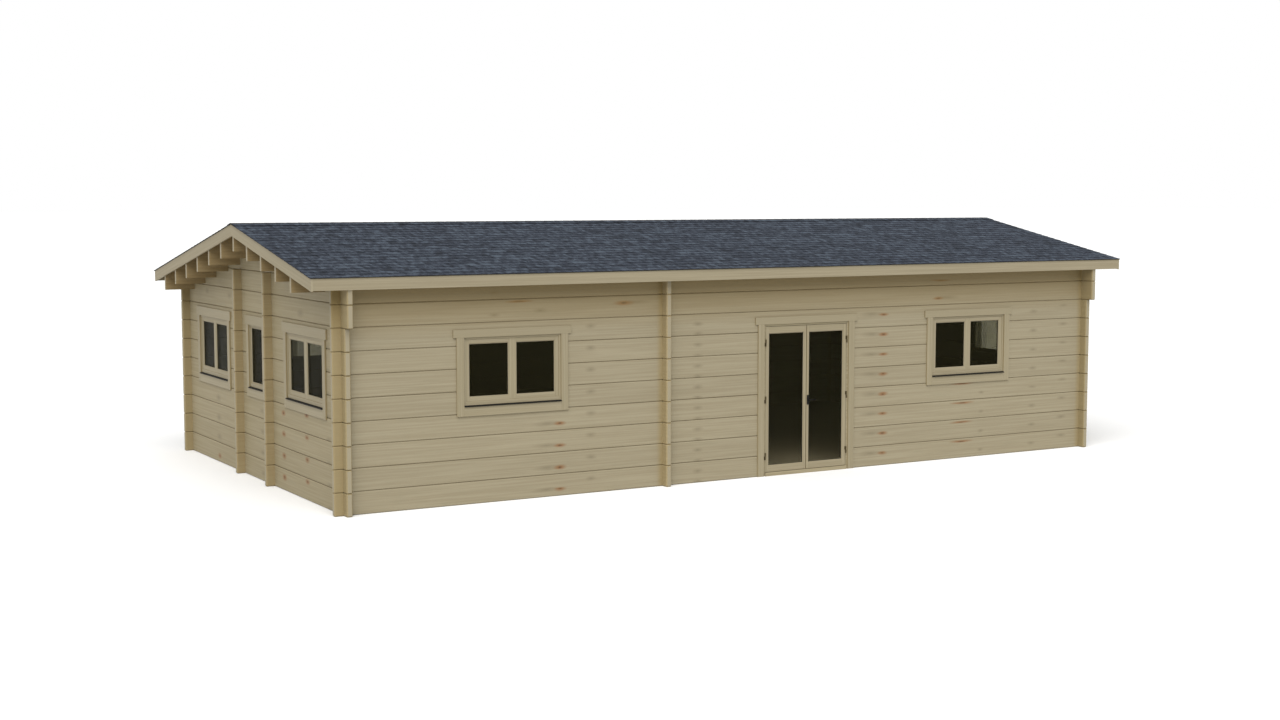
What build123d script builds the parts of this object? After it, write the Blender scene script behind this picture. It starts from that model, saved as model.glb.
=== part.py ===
from build123d import *
import math
import os

# Log cabin with a low saddle roof, a glazed double door and nine windows.
# Millimetres. +X runs along the front to the right, +Y to the back, +Z up.
# The origin lies on the ground, under the middle of the roof's outline.

# Walls
wall_length = 11400
wall_depth = 6175
log_height = 270
log_thickness = 70
log_chamfer = 11
end_length = 110
corner_course_count = 8

# Log ends that cross the walls between the corners
front_crossing_share = 0.3754
side_crossing_spread = 1220
side_crossing_course_count = 10

# Roof
roof_pitch = 11
ridge_above_head = 1315
ridge_share = 0.4308
front_eave = 240
back_eave = 160
gable_overhang = 430
deck_thickness = 20
shingle_thickness = 9
shingle_overhang = 12
ridge_cap_width = 150
ridge_cap_thickness = 5
board_thickness = 22
barge_width = 145
fascia_height = 140
purlin_width = 54
purlin_height = 320
front_purlin_margin = 516
back_purlin_margin = 299
front_purlin_count = 4
back_purlin_count = 6

# Floor
bearer_height = 48
bearer_width = 60
bearer_count = 12
floor_thickness = 20
floor_gap = 10

# Door and windows
head_height = 1990
sill_height = 1183
door_view_width = 1358
double_window_view_width = 1290
single_window_view_width = 560
double_sash_count = 2
single_sash_count = 1
frame_width = 45
frame_lap = 20
casing_width = 95
casing_thickness = 20
casing_ear = 42
gable_head_width = 125
apron_height = 128
sill_thickness = 16
sill_reach = 34
sash_stile = 60
fixed_light_stile = 20
sash_thickness = 46
sash_setback = 8
glass_thickness = 16
glass_setback = 14
glass_hold = 9
door_share = 0.5665
front_window_shares = (0.1895, 0.8083)
right_window_shares = (0.2672, 0.7328)

# Door leaves
leaf_stile = 62
meeting_stile = 46
leaf_bottom_rail = 92
leaf_top_rail = 96
leaf_thickness = 45
leaf_gap = 5
meeting_gap = 10
stop_width = 15
stop_thickness = 20
threshold_height = 45
threshold_reach = 24

# Hinges and handle
hinge_radius = 8
hinge_length = 90
hinge_split_gap = 0.5
hinge_pin_radius = 4
hinge_pin_clearance = 0.05
hinge_pin_length = 30
hinge_plate_width = 16
hinge_plate_thickness = 3
hinge_margin = 210
handle_height = 970
handle_plate_width = 34
handle_plate_height = 128
handle_plate_thickness = 6
handle_neck_radius = 9
handle_neck_length = 44
handle_lever_length = 90
handle_lever_radius = 9

# Places that follow from the sizes above
left_x = -wall_length / 2
right_x = wall_length / 2
front_y = (front_eave - back_eave - wall_depth) / 2
back_y = front_y + wall_depth
ridge_from_front = ridge_share * wall_depth
ridge_y = front_y + ridge_from_front
ridge_height = head_height + ridge_above_head
front_eave_y = front_y - front_eave
back_eave_y = back_y + back_eave
roof_left_x = left_x - gable_overhang
roof_right_x = right_x + gable_overhang
slope = math.tan(math.radians(roof_pitch))
plumb = 1 / math.cos(math.radians(roof_pitch))
deck_drop = deck_thickness * plumb
course_count = math.ceil(ridge_height / log_height)
floor_top = bearer_height + floor_thickness
door_x = left_x + door_share * wall_length
side_bay = (wall_depth - side_crossing_spread) / 2
side_crossing_y = [front_y + side_bay, back_y - side_bay]


def block(x0, x1, y0, y1, z0, z1):
    """A rectangular piece given by its limits along X, Y and Z."""
    middle = ((x0 + x1) / 2, (y0 + y1) / 2, (z0 + z1) / 2)
    return Pos(*middle) * Box(x1 - x0, y1 - y0, z1 - z0)


def ring(x0, x1, y0, y1, z0, z1, side, bottom, top):
    """An upright rectangular frame in the XZ plane with members of the given widths."""
    outer = block(x0, x1, y0, y1, z0, z1)
    return outer - block(x0 + side, x1 - side, y0, y1, z0 + bottom, z1 - top)


def joined(pieces):
    """Separate solids kept together in one node."""
    return Compound(children=[solid for piece in pieces for solid in piece.solids()])


# Roof shapes
def roof_line(y):
    """Height of the deck's top face at a place across the cabin."""
    return ridge_height - abs(y - ridge_y) * slope


def slope_piece(low_y, top_drop, bottom_drop, x0, x1, high_y=ridge_y):
    """A piece along one slope, between two plumb drops below the deck's top face."""
    corners = [
        (high_y, roof_line(high_y) - top_drop),
        (low_y, roof_line(low_y) - top_drop),
        (low_y, roof_line(low_y) - bottom_drop),
        (high_y, roof_line(high_y) - bottom_drop),
    ]
    outline = Plane.YZ.offset(x0) * Polygon(*corners, align=None)
    return extrude(outline, amount=x1 - x0, dir=(1, 0, 0))


def above_roof(drop):
    """The space above both slopes, from a plumb drop below the deck's top face."""
    reach = 2 * ridge_height
    x0 = roof_left_x - gable_overhang
    x1 = roof_right_x + gable_overhang
    front = slope_piece(front_eave_y - front_eave - log_height, -reach, drop, x0, x1)
    back = slope_piece(back_eave_y + back_eave + log_height, -reach, drop, x0, x1)
    return [front, back]


sky = above_roof(deck_drop)


# Log walls
def log_stack(x0, x1, y0, y1, first, last):
    """Chamfered logs laid one on another, from one course up to another."""
    log = block(x0, x1, y0, y1, 0, log_height)
    log = chamfer(log.edges(), log_chamfer)
    return Part() + [Pos(0, 0, course * log_height) * log for course in range(first, last)]


def crossing_notches(x, y, upper, count=course_count):
    """The upper or lower half of every course that the other wall's logs fill where two walls cross."""
    half = log_height / 2
    start = half if upper else 0
    notch = Pos(x, y, start + half / 2) * Box(log_thickness, log_thickness, half)
    return [Pos(0, 0, course * log_height) * notch for course in range(count)]


front_middle = front_y + log_thickness / 2
back_middle = back_y - log_thickness / 2
left_middle = left_x + log_thickness / 2
right_middle = right_x - log_thickness / 2
crossing_x = left_x + front_crossing_share * wall_length


def long_wall(y0, side):
    """A wall that runs along X and keeps the lower half of each course where walls cross."""
    wall = log_stack(left_x - end_length, right_x + end_length, y0, y0 + log_thickness, 0, course_count)
    cuts = [*window_holes(side), *sky]
    for x in (left_middle, crossing_x, right_middle):
        cuts += crossing_notches(x, y0 + log_thickness / 2, True)
    return wall - cuts


def side_wall(x0, crossings, side):
    """A gable wall that keeps the upper half of each course where walls cross."""
    x1 = x0 + log_thickness
    low = log_stack(x0, x1, front_y - end_length, back_y + end_length, 0, corner_course_count)
    corbel_front_y = front_eave_y + board_thickness
    corbel_back_y = back_eave_y - board_thickness
    high = log_stack(x0, x1, corbel_front_y, corbel_back_y, corner_course_count, course_count)
    cuts = [*window_holes(side), *purlins, *sky]
    for y in (front_middle, back_middle):
        cuts += crossing_notches(x0 + log_thickness / 2, y, False)
    for y in crossings:
        cuts += crossing_notches(x0 + log_thickness / 2, y, False, side_crossing_course_count)
    return (low + high) - cuts


def long_wall_crossing(y0):
    """Log ends that cross a long wall, with a short return inside."""
    x0 = crossing_x - log_thickness / 2
    y1 = y0 + log_thickness
    stack = log_stack(x0, x0 + log_thickness, y0 - end_length, y1 + end_length, 0, course_count)
    return stack - [*crossing_notches(crossing_x, y0 + log_thickness / 2, False), *sky]


def side_wall_crossing(y):
    """Log ends that cross the left gable wall under the purlins, with a short return inside."""
    count = side_crossing_course_count
    y0 = y - log_thickness / 2
    x1 = left_x + log_thickness + end_length
    stack = log_stack(left_x - end_length, x1, y0, y0 + log_thickness, 0, count)
    return stack - crossing_notches(left_middle, y, True, count)


# Windows, drawn in a frame of their own: X along the wall, Y inwards, Z up
window_top = head_height + frame_lap


def window_hole(view_width):
    """The hole in the logs that a window frame fills."""
    half = view_width / 2 + frame_lap
    return block(-half, half, -log_thickness, 2 * log_thickness, sill_height, window_top)


def window_frame(view_width):
    """The outer frame, as deep as the wall."""
    half = view_width / 2 + frame_lap
    return ring(-half, half, 0, log_thickness, sill_height, window_top, frame_width, frame_width, frame_width)


def sash_blocks(view_width, sash_count):
    """Left and right limits of each sash."""
    inner = view_width / 2 + frame_lap - frame_width
    width = 2 * inner / sash_count
    return [(-inner + index * width, -inner + (index + 1) * width) for index in range(sash_count)]


def window_pane(x0, x1, z0, z1, stile):
    """One pane with its edges held in the grooves of the members around it."""
    y0 = sash_setback + glass_setback
    hidden = stile - glass_hold
    return block(x0 + hidden, x1 - hidden, y0, y0 + glass_thickness, z0 + hidden, z1 - hidden)


def window_sashes(view_width, sash_count):
    """Sashes and panes of one window; a single light is fixed and has narrow members."""
    z0 = sill_height + frame_width
    z1 = window_top - frame_width
    y1 = sash_setback + sash_thickness
    stile = fixed_light_stile if sash_count == single_sash_count else sash_stile
    sashes = []
    panes = []
    for x0, x1 in sash_blocks(view_width, sash_count):
        pane = window_pane(x0, x1, z0, z1, stile)
        sashes.append(ring(x0, x1, sash_setback, y1, z0, z1, stile, stile, stile) - pane)
        panes.append(pane)
    return Part() + sashes, panes


def casing(view_width, low_z, head_width=casing_width):
    """Side boards and a head board with ears on the outer face."""
    half = view_width / 2
    outer = half + casing_width
    ear = outer + casing_ear
    left = block(-outer, -half, -casing_thickness, 0, low_z, head_height)
    right = block(half, outer, -casing_thickness, 0, low_z, head_height)
    head = block(-ear, ear, -casing_thickness, 0, head_height, head_height + head_width)
    return left + right + head


def window_casing(view_width, head_width):
    """The casing, with an apron board under the sill between its side boards."""
    half = view_width / 2
    low_z = sill_height - apron_height
    apron = block(-half, half, -casing_thickness, 0, low_z, sill_height - sill_thickness)
    return casing(view_width, low_z, head_width) + apron


def window_sill(view_width):
    """A sill board that throws water clear of the apron, with a sloped top."""
    half = view_width / 2
    corners = [(0, sill_height - sill_thickness), (0, sill_height), (-sill_reach, sill_height - sill_thickness / 2),
               (-sill_reach, sill_height - sill_thickness)]
    outline = Plane.YZ.offset(-half) * Polygon(*corners, align=None)
    return extrude(outline, amount=view_width, dir=(1, 0, 0))


long_wall_x = [left_x + share * wall_length for share in front_window_shares]
front_places = [Pos(x, front_y, 0) for x in long_wall_x]
back_places = [Pos(x, back_y, 0) * Rot(0, 0, 180) for x in long_wall_x]
left_places = [Pos(left_x, y, 0) * Rot(0, 0, -90) for y in (front_y + side_bay / 2, back_y - side_bay / 2)]
middle_place = Pos(left_x, (front_y + back_y) / 2, 0) * Rot(0, 0, -90)
right_places = [Pos(right_x, front_y + share * wall_depth, 0) * Rot(0, 0, 90) for share in right_window_shares]
windows = {
    "front": [(place, double_window_view_width, double_sash_count) for place in front_places],
    "back": [(place, double_window_view_width, double_sash_count) for place in back_places],
    "left": [(place, double_window_view_width, double_sash_count) for place in left_places],
    "right": [(place, double_window_view_width, double_sash_count) for place in right_places],
}
windows["left"].append((middle_place, single_window_view_width, single_sash_count))
head_widths = {"front": casing_width, "back": casing_width, "left": gable_head_width, "right": gable_head_width}


def window_holes(side):
    """The holes for the windows of one wall."""
    return [place * window_hole(view_width) for place, view_width, _ in windows[side]]


# Door frame and casing
door_half = door_view_width / 2
door_frame_half = door_half + frame_lap
door_top = head_height + frame_lap
frame_inner_half = door_frame_half - frame_width
frame_inner_top = door_top - frame_width


def door_place(shape):
    """Moves a shape drawn around the door's middle on the wall's outer face to its place."""
    return Pos(door_x, front_y, 0) * shape


def door_frame():
    """Two jambs and a head, with stops behind the leaves, standing on the threshold's ends."""
    outer = block(-door_frame_half, door_frame_half, 0, log_thickness, 0, door_top)
    frame = outer - block(-frame_inner_half, frame_inner_half, 0, log_thickness, 0, frame_inner_top)
    stop_y = log_thickness - stop_thickness
    stops = block(-frame_inner_half, frame_inner_half, stop_y, log_thickness, threshold_height, frame_inner_top)
    inner_half = frame_inner_half - stop_width
    stops = stops - block(-inner_half, inner_half, stop_y, log_thickness, 0, frame_inner_top - stop_width)
    return frame + stops


def threshold():
    """A sill under the leaves with a rounded front arris."""
    body = block(-frame_inner_half, frame_inner_half, -threshold_reach, log_thickness, 0, threshold_height)
    front = body.edges().filter_by(Axis.X).group_by(Axis.Y)[0]
    return fillet(front.sort_by(Axis.Z)[-1], threshold_height / 4)


# Door leaves
leaf_low = threshold_height + leaf_gap
leaf_high = frame_inner_top - leaf_gap
leaf_outer_x = frame_inner_half - leaf_gap
leaf_inner_x = meeting_gap / 2
hinge_x = frame_inner_half - leaf_gap / 2
hinge_y = -hinge_radius
low_hinge = leaf_low + hinge_margin
high_hinge = leaf_high - hinge_margin
hinge_heights = (low_hinge, (low_hinge + high_hinge) / 2, high_hinge)


def leaf(side):
    """One leaf and its pane; side is -1 for the left leaf and 1 for the right one."""
    x0, x1 = sorted((side * leaf_inner_x, side * leaf_outer_x))
    hole_x0, hole_x1 = sorted((side * (leaf_inner_x + meeting_stile), side * (leaf_outer_x - leaf_stile)))
    hole_z0 = leaf_low + leaf_bottom_rail
    hole_z1 = leaf_high - leaf_top_rail
    pane = block(
        hole_x0 - glass_hold, hole_x1 + glass_hold, glass_setback, glass_setback + glass_thickness,
        hole_z0 - glass_hold, hole_z1 + glass_hold,
    )
    slab = block(x0, x1, 0, leaf_thickness, leaf_low, leaf_high)
    return slab - block(hole_x0, hole_x1, 0, leaf_thickness, hole_z0, hole_z1) - pane, pane


def hinge_plate(side, toward, z0):
    """The flat wing that fastens one half of a hinge to the face beside it."""
    start = side * hinge_x
    x0, x1 = sorted((start, start + toward * hinge_plate_width))
    return block(x0, x1, -hinge_plate_thickness, 0, z0, z0 + (hinge_length - hinge_split_gap) / 2)


def knuckle(side, z0, radius, length):
    """A round part of a hinge, standing on a height."""
    return Pos(side * hinge_x, hinge_y, z0) * Cylinder(radius, length, align=(Align.CENTER, Align.CENTER, Align.MIN))


def frame_hinge(side, z):
    """The lower half of a hinge, with the pin that carries the leaf."""
    half = (hinge_length - hinge_split_gap) / 2
    low = z - hinge_length / 2
    body = knuckle(side, low, hinge_radius, half) + hinge_plate(side, side, low)
    return body + knuckle(side, low + half, hinge_pin_radius, hinge_pin_length)


def leaf_hinge(side, z):
    """The upper half of a hinge, with the hole that the pin fills."""
    half = (hinge_length - hinge_split_gap) / 2
    low = z + hinge_split_gap / 2
    body = knuckle(side, low, hinge_radius, half) + hinge_plate(side, -side, low)
    return body - knuckle(side, low, hinge_pin_radius + hinge_pin_clearance, hinge_pin_length + hinge_pin_radius)


def lever_handle(y_face, out):
    """A plate, a neck and a lever; out is -1 outside and 1 inside."""
    x = leaf_inner_x + meeting_stile / 2
    half = handle_plate_width / 2
    z0 = handle_height - handle_plate_height / 2
    y0, y1 = sorted((y_face, y_face + out * handle_plate_thickness))
    plate = block(x - half, x + half, y0, y1, z0, z0 + handle_plate_height)
    plate = chamfer(plate.edges().filter_by(Axis.Y), handle_plate_thickness)
    elbow_y = y_face + out * handle_neck_length
    neck = Pos(x, (y_face + elbow_y) / 2, handle_height) * Rot(90, 0, 0) * Cylinder(
        handle_neck_radius, handle_neck_length)
    elbow = Pos(x, elbow_y, handle_height) * Sphere(handle_lever_radius)
    lever = Pos(x + handle_lever_length / 2, elbow_y, handle_height) * Rot(0, 90, 0) * Cylinder(
        handle_lever_radius, handle_lever_length)
    return plate + neck + elbow + lever


# Roof pieces
def purlin(y):
    """A purlin on edge, its top planed to the slope and its ends behind the barge boards."""
    x0 = roof_left_x + board_thickness
    x1 = roof_right_x - board_thickness
    half = purlin_width / 2
    low_z = roof_line(y) - deck_drop - purlin_height
    return block(x0, x1, y - half, y + half, low_z, ridge_height) - sky


def fascia(y0, y1):
    """An eaves board between the barge boards, its top planed to the slope."""
    low_z = min(roof_line(y0), roof_line(y1)) - fascia_height
    x0 = roof_left_x + board_thickness
    x1 = roof_right_x - board_thickness
    return block(x0, x1, y0, y1, low_z, ridge_height) - above_roof(0)


def barge_boards(low_y):
    """Boards along both gable ends of one slope."""
    drop = barge_width * plumb
    left = slope_piece(low_y, 0, drop, roof_left_x, roof_left_x + board_thickness)
    right = slope_piece(low_y, 0, drop, roof_right_x - board_thickness, roof_right_x)
    return joined([left, right])


def ridge_cap():
    """A folded strip of shingles over the ridge."""
    x0 = roof_left_x - shingle_overhang
    x1 = roof_right_x + shingle_overhang
    top = -(shingle_thickness + ridge_cap_thickness) * plumb
    bottom = -shingle_thickness * plumb
    front = slope_piece(ridge_y - ridge_cap_width, top, bottom, x0, x1)
    back = slope_piece(ridge_y + ridge_cap_width, top, bottom, x0, x1)
    return front + back


def shingles(low_y):
    """The shingle layer of one slope, just past the boards around it."""
    x0 = roof_left_x - shingle_overhang
    x1 = roof_right_x + shingle_overhang
    return slope_piece(low_y, -shingle_thickness * plumb, 0, x0, x1)


# Floor
def floor_bearers():
    """Bearers across the cabin, on the ground under the boards and butted between the long walls."""
    first = left_x + log_thickness + floor_gap + bearer_width / 2
    last = right_x - log_thickness - floor_gap - bearer_width / 2
    step = (last - first) / (bearer_count - 1)
    y0 = front_y + log_thickness
    y1 = back_y - log_thickness
    half = bearer_width / 2
    bearers = []
    for index in range(bearer_count):
        x = first + index * step
        bearers.append(block(x - half, x + half, y0, y1, 0, bearer_height))
    return bearers


def crossing_clearance(shape):
    """A shape with room cut for the log ends that stand inside the walls."""
    half = log_thickness / 2 + floor_gap
    reach = log_thickness + end_length + floor_gap
    for y in side_crossing_y:
        shape = shape - block(left_x, left_x + reach, y - half, y + half, 0, floor_top)
    for y0, y1 in ((front_y, front_y + reach), (back_y - reach, back_y)):
        shape = shape - block(crossing_x - half, crossing_x + half, y0, y1, 0, floor_top)
    return shape


def floor_boards():
    """The floor, one slab of boards with a gap along the walls."""
    gap = log_thickness + floor_gap
    return block(left_x + gap, right_x - gap, front_y + gap, back_y - gap, bearer_height, floor_top)


# The pieces of every node
front_spacing = (ridge_from_front - front_purlin_margin) / front_purlin_count
back_spacing = (wall_depth - ridge_from_front - back_purlin_margin) / back_purlin_count
front_purlins = [purlin(ridge_y - index * front_spacing) for index in range(front_purlin_count, 0, -1)]
back_purlins = [purlin(ridge_y + index * back_spacing) for index in range(back_purlin_count + 1)]
purlins = front_purlins + back_purlins
front_wall = long_wall(front_y, "front")
door_left_x = door_x - door_frame_half
door_right_x = door_x + door_frame_half
wall_ends = (front_y - end_length, front_y + end_length)
tall = 2 * ridge_height
beyond = 2 * wall_length
left_side = block(-beyond, door_left_x, *wall_ends, 0, tall)
right_side = block(door_right_x, beyond, *wall_ends, 0, tall)
over_door = block(door_left_x, door_right_x, *wall_ends, door_top, tall)
left_leaf, left_pane = leaf(-1)
right_leaf, right_pane = leaf(1)

nodes = {
    "front_wall_left": front_wall & left_side,
    "front_wall_right": front_wall & right_side,
    "front_wall_over_door": front_wall & over_door,
    "back_wall": long_wall(back_y - log_thickness, "back"),
    "left_gable_wall": side_wall(left_x, side_crossing_y, "left"),
    "right_gable_wall": side_wall(right_x - log_thickness, (), "right"),
    "long_wall_log_ends": joined([long_wall_crossing(front_y), long_wall_crossing(back_y - log_thickness)]),
    "left_gable_log_ends": joined([side_wall_crossing(y) for y in side_crossing_y]),
    "floor_bearers": joined([crossing_clearance(bearer) for bearer in floor_bearers()]),
    "floor_boards": crossing_clearance(floor_boards()),
    "purlins": joined(purlins),
    "front_roof_deck": slope_piece(
        front_eave_y + board_thickness, 0, deck_drop,
        roof_left_x + board_thickness, roof_right_x - board_thickness),
    "back_roof_deck": slope_piece(
        back_eave_y - board_thickness, 0, deck_drop,
        roof_left_x + board_thickness, roof_right_x - board_thickness),
    "front_shingles": shingles(front_eave_y - shingle_overhang),
    "back_shingles": shingles(back_eave_y + shingle_overhang),
    "ridge_shingles": ridge_cap(),
    "front_barge_boards": barge_boards(front_eave_y),
    "back_barge_boards": barge_boards(back_eave_y),
    "eaves_boards": joined([
        fascia(front_eave_y, front_eave_y + board_thickness),
        fascia(back_eave_y - board_thickness, back_eave_y),
    ]),
    "door_frame": door_place(door_frame()),
    "door_threshold": door_place(threshold()),
    "door_casing": door_place(casing(door_view_width, 0)),
    "door_frame_hinges": joined([door_place(frame_hinge(side, z)) for side in (-1, 1) for z in hinge_heights]),
    "left_door_leaf": door_place(left_leaf),
    "left_door_glass": door_place(left_pane),
    "left_leaf_hinges": joined([door_place(leaf_hinge(-1, z)) for z in hinge_heights]),
    "right_door_leaf": door_place(right_leaf),
    "right_door_glass": door_place(right_pane),
    "right_leaf_hinges": joined([door_place(leaf_hinge(1, z)) for z in hinge_heights]),
    "door_handles": joined([door_place(lever_handle(0, -1)), door_place(lever_handle(leaf_thickness, 1))]),
}

panes = []
sills = []
for side, places in windows.items():
    frames = []
    sashes = []
    casings = []
    for place, view_width, sash_count in places:
        sash, glass = window_sashes(view_width, sash_count)
        frames.append(place * window_frame(view_width))
        sashes.append(place * sash)
        panes.extend(place * pane for pane in glass)
        casings.append(place * window_casing(view_width, head_widths[side]))
        sills.append(place * window_sill(view_width))
    nodes[f"{side}_window_frames"] = joined(frames)
    nodes[f"{side}_window_sashes"] = joined(sashes)
    nodes[f"{side}_window_casings"] = joined(casings)
nodes["window_sills"] = joined(sills)
nodes["window_glass"] = joined(panes)

os.makedirs("parts", exist_ok=True)
for name, shape in nodes.items():
    export_step(shape, f"parts/{name}.step")
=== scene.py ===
"""Looks of a log cabin with notched corners, a shingled saddle roof and a glazed double door.

Metres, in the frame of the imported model: +X along the front to the right, +Y to the back, +Z up.
"""

import math

import bmesh
import bpy
from mathutils import Matrix, Vector


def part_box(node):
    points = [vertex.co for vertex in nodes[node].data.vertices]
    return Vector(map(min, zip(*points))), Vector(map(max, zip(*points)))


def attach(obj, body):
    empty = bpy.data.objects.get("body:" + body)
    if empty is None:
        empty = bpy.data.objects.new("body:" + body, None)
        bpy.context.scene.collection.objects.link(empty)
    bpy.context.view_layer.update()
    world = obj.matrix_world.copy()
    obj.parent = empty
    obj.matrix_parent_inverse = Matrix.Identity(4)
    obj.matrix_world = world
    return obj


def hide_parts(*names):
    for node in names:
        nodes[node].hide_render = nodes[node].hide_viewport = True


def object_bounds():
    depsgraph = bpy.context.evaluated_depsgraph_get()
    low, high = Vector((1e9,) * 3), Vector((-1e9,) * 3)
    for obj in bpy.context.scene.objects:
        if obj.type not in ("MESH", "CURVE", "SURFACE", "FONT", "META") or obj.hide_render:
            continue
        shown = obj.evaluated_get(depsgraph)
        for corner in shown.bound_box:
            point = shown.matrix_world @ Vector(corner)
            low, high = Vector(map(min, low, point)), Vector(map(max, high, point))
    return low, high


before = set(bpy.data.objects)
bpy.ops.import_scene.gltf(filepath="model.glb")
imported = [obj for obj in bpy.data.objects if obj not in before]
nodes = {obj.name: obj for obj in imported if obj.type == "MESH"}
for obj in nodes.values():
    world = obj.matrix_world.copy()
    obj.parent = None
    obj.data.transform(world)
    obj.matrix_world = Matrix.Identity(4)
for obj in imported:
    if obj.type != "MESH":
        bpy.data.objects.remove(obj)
cad_low, cad_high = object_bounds()

# Sizes of the cabin
log_height = 0.27
log_thickness = 0.07
pitch = math.radians(11)
shingle_layer = 0.009
cap_layer = 0.005
cap_sheet = 0.003
cap_sink = 0.0002
cap_width = 0.15
purlin_spacing = 0.536
head_height = 1.99
sill_height = 1.183
door_view_width = 1.358
double_view_width = 1.29
single_view_width = 0.56
frame_width = 0.045
frame_lap = 0.02
casing_width = 0.095
casing_thickness = 0.02
casing_ear = 0.042
gable_head_width = 0.125
apron_height = 0.128
sill_thickness = 0.016
sash_stile = 0.06
fixed_light_stile = 0.02
sash_thickness = 0.046
sash_setback = 0.008
glass_thickness = 0.016
glass_setback = 0.014
bead_width = 0.0125
bead_face = 0.004
bead_setback = 0.003
strip_width = 0.0015
leaf_stile = 0.062
meeting_stile = 0.046
leaf_bottom_rail = 0.092
leaf_top_rail = 0.096
leaf_thickness = 0.045
leaf_gap = 0.005
meeting_gap = 0.01
threshold_height = 0.045
board_pitch = 0.12
board_joint = 0.0015
middle_bay = 1.22

# Middles of the windows as shares of a wall's length, from its end with the smaller coordinate
long_wall_shares = (0.1895, 0.8083)
right_wall_shares = (0.2672, 0.7328)

# Depths under the top of the ridge between which its fold turns bare
fold_start = 0.013
fold_full = 0.009

# Metres that each member has on the joinery's map
map_pitch = 4.0

# Shared by several woods: the reach of the dark lines painted as shade in the joints, the heights between
# which wood under the eaves turns browner with painted shade, and the brown painted as shade on log ends, on
# the wall beside them and on joinery's narrow sides
long_seam = 0.004
gable_seam = 0.006
under_eave = (2.0, 2.75)
painted_shade_brown = "#9A8963"

# Studio: the floor, the lights, and the camera where the cabin's edges fall as in the photograph
floor_reach = 400.0
floor_z = -0.001
sky_strength = 0.52
sun_strength = 2.8
sun_spread = math.radians(60)
sun_direction = (0.35, 0.54, -0.765)
focal_length = 49.55
camera_place = (-12.738, -22.0, 3.641)
camera_dip = 0.09225
camera_turn = -0.5242

# Places read from the frame
front_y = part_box("front_window_frames")[0].y
back_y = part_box("back_window_frames")[1].y
left_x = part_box("left_window_frames")[0].x
right_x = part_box("right_window_frames")[1].x
wall_length = right_x - left_x
wall_depth = back_y - front_y
door_x = (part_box("door_frame")[0].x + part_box("door_frame")[1].x) / 2
front_roof_low, front_roof_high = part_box("front_shingles")
back_eave_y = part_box("back_shingles")[1].y
ridge_y = front_roof_high.y
crossing_x = (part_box("long_wall_log_ends")[0].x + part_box("long_wall_log_ends")[1].x) / 2
ridge_z = front_roof_high.z - shingle_layer / math.cos(pitch)


def colour(code):
    """An sRGB hex colour as linear red, green, blue and alpha."""
    parts = [int(code[i:i + 2], 16) / 255 for i in (1, 3, 5)]
    return tuple(c / 12.92 if c <= 0.04045 else ((c + 0.055) / 1.055) ** 2.4 for c in parts) + (1.0,)


def result(node):
    """The output that a node's settings leave in use."""
    return next(socket for socket in node.outputs if socket.enabled)


def add(tree, kind, inputs=None, stops=None, **settings):
    """Adds a node with its settings, its ramp's stops, and its inputs as values, sockets or other nodes."""
    made = tree.nodes.new(kind)
    for name, value in settings.items():
        setattr(made, name, value)
    if stops:
        elements = made.color_ramp.elements
        while len(elements) < len(stops):
            elements.new(0.5)
        for element, (place, shade) in zip(elements, stops):
            element.position = place
            element.color = colour(shade)
    for key, value in (inputs or {}).items():
        if isinstance(value, bpy.types.Node):
            value = result(value)
        if isinstance(value, bpy.types.NodeSocket):
            tree.links.new(value, made.inputs[key])
        else:
            made.inputs[key].default_value = value
    return made


def material(name, **shader_inputs):
    """A new material with its tree and its shader, whose constant inputs are set on the shader."""
    made = bpy.data.materials.new(name)
    made.use_nodes = True
    tree = made.node_tree
    tree.nodes.clear()
    shader = add(tree, "ShaderNodeBsdfPrincipled", {k.replace("_", " "): v for k, v in shader_inputs.items()})
    add(tree, "ShaderNodeOutputMaterial", {"Surface": shader.outputs[0]})
    return made, tree, shader


def dress(tree, shader, shade, bump=None):
    """Gives a shader its colour and its bump."""
    tree.links.new(result(shade), shader.inputs["Base Color"])
    if bump:
        tree.links.new(result(bump), shader.inputs["Normal"])


# Wood
def knot_field(tree, along, height, member, knots):
    """Distance from the nearest knot, in knot sizes.

    A knot is its place along and up the log, its half length and half width, and its first and last course.
    """
    nearest = far = 9.0
    for courses in sorted({knot[4] for knot in knots}):
        first, last = courses
        inside = add(tree, "ShaderNodeMath", {0: member, 1: (first + last) / 2, 2: (last - first) / 2 + 0.1},
                     operation="COMPARE")
        away = add(tree, "ShaderNodeMath", {0: inside, 1: -far, 2: far}, operation="MULTIPLY_ADD")
        place = add(tree, "ShaderNodeCombineXYZ", {0: along, 1: height, 2: away})
        for a, h, half_length, half_width, _ in [knot for knot in knots if knot[4] == courses]:
            scaled = add(tree, "ShaderNodeVectorMath", {
                0: place, 1: (1 / half_length, 1 / half_width, 1), 2: (-a / half_length, -h / half_width, 0)},
                operation="MULTIPLY_ADD")
            distance = add(tree, "ShaderNodeVectorMath", {0: scaled}, operation="LENGTH")
            nearest = add(tree, "ShaderNodeMath", {0: nearest, 1: distance}, operation="MINIMUM")
    return nearest


def noise_along(tree, place, scale, detail, roughness):
    """Noise with its own number of waves per metre along, across and into the wood."""
    stretched = add(tree, "ShaderNodeVectorMath", {0: place, 1: scale}, operation="MULTIPLY")
    return add(tree, "ShaderNodeTexNoise", {
        "Vector": stretched, "Scale": 1.0, "Detail": detail, "Roughness": roughness})


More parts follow.
